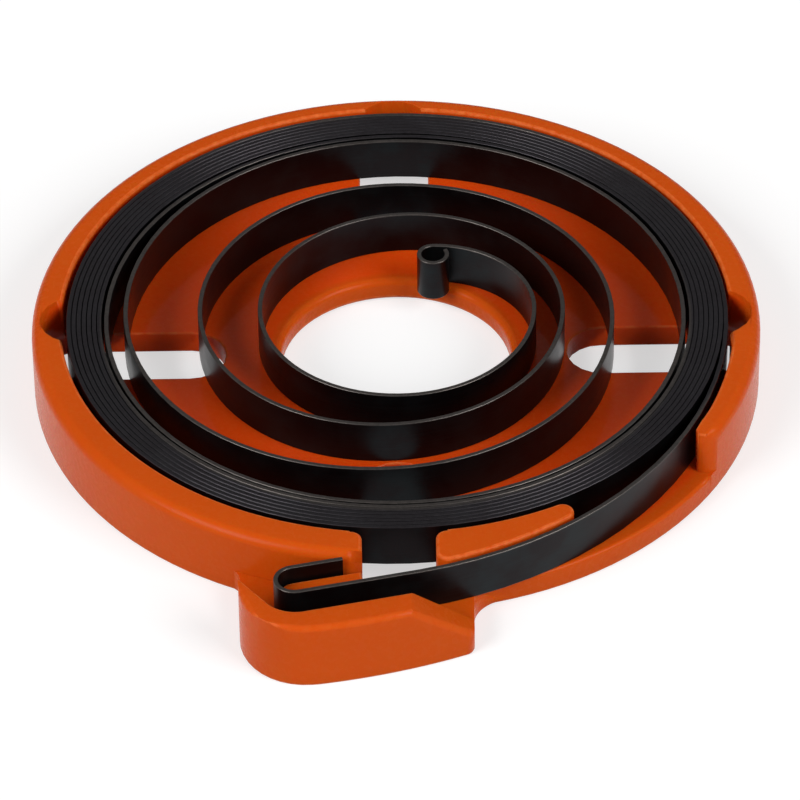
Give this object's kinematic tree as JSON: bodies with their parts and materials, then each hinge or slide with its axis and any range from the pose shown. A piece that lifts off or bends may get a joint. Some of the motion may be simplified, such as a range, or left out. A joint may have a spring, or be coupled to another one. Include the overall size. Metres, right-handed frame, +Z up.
{
  "type": "return spring",
  "caption": "Spiral return spring for a pull starter: a flat steel strip, hooked outside and rolled to an eye inside, seated in a round slotted cassette.",
  "frame": {"origin": "centre of the hub hole at the cassette's underside", "axes": "+Z up out of the cassette's open side, -Y towards the hook pocket"},
  "size_m": [0.08, 0.0912, 0.008],
  "materials": {
    "cassette_plastic": "smooth moulded, slightly glossy",
    "spring_steel": "blued black, lightly oiled"
  },
  "bodies": {
    "root": {"spring_cassette": "cassette_plastic", "spiral_spring": "spring_steel"}
  },
  "joints": []
}
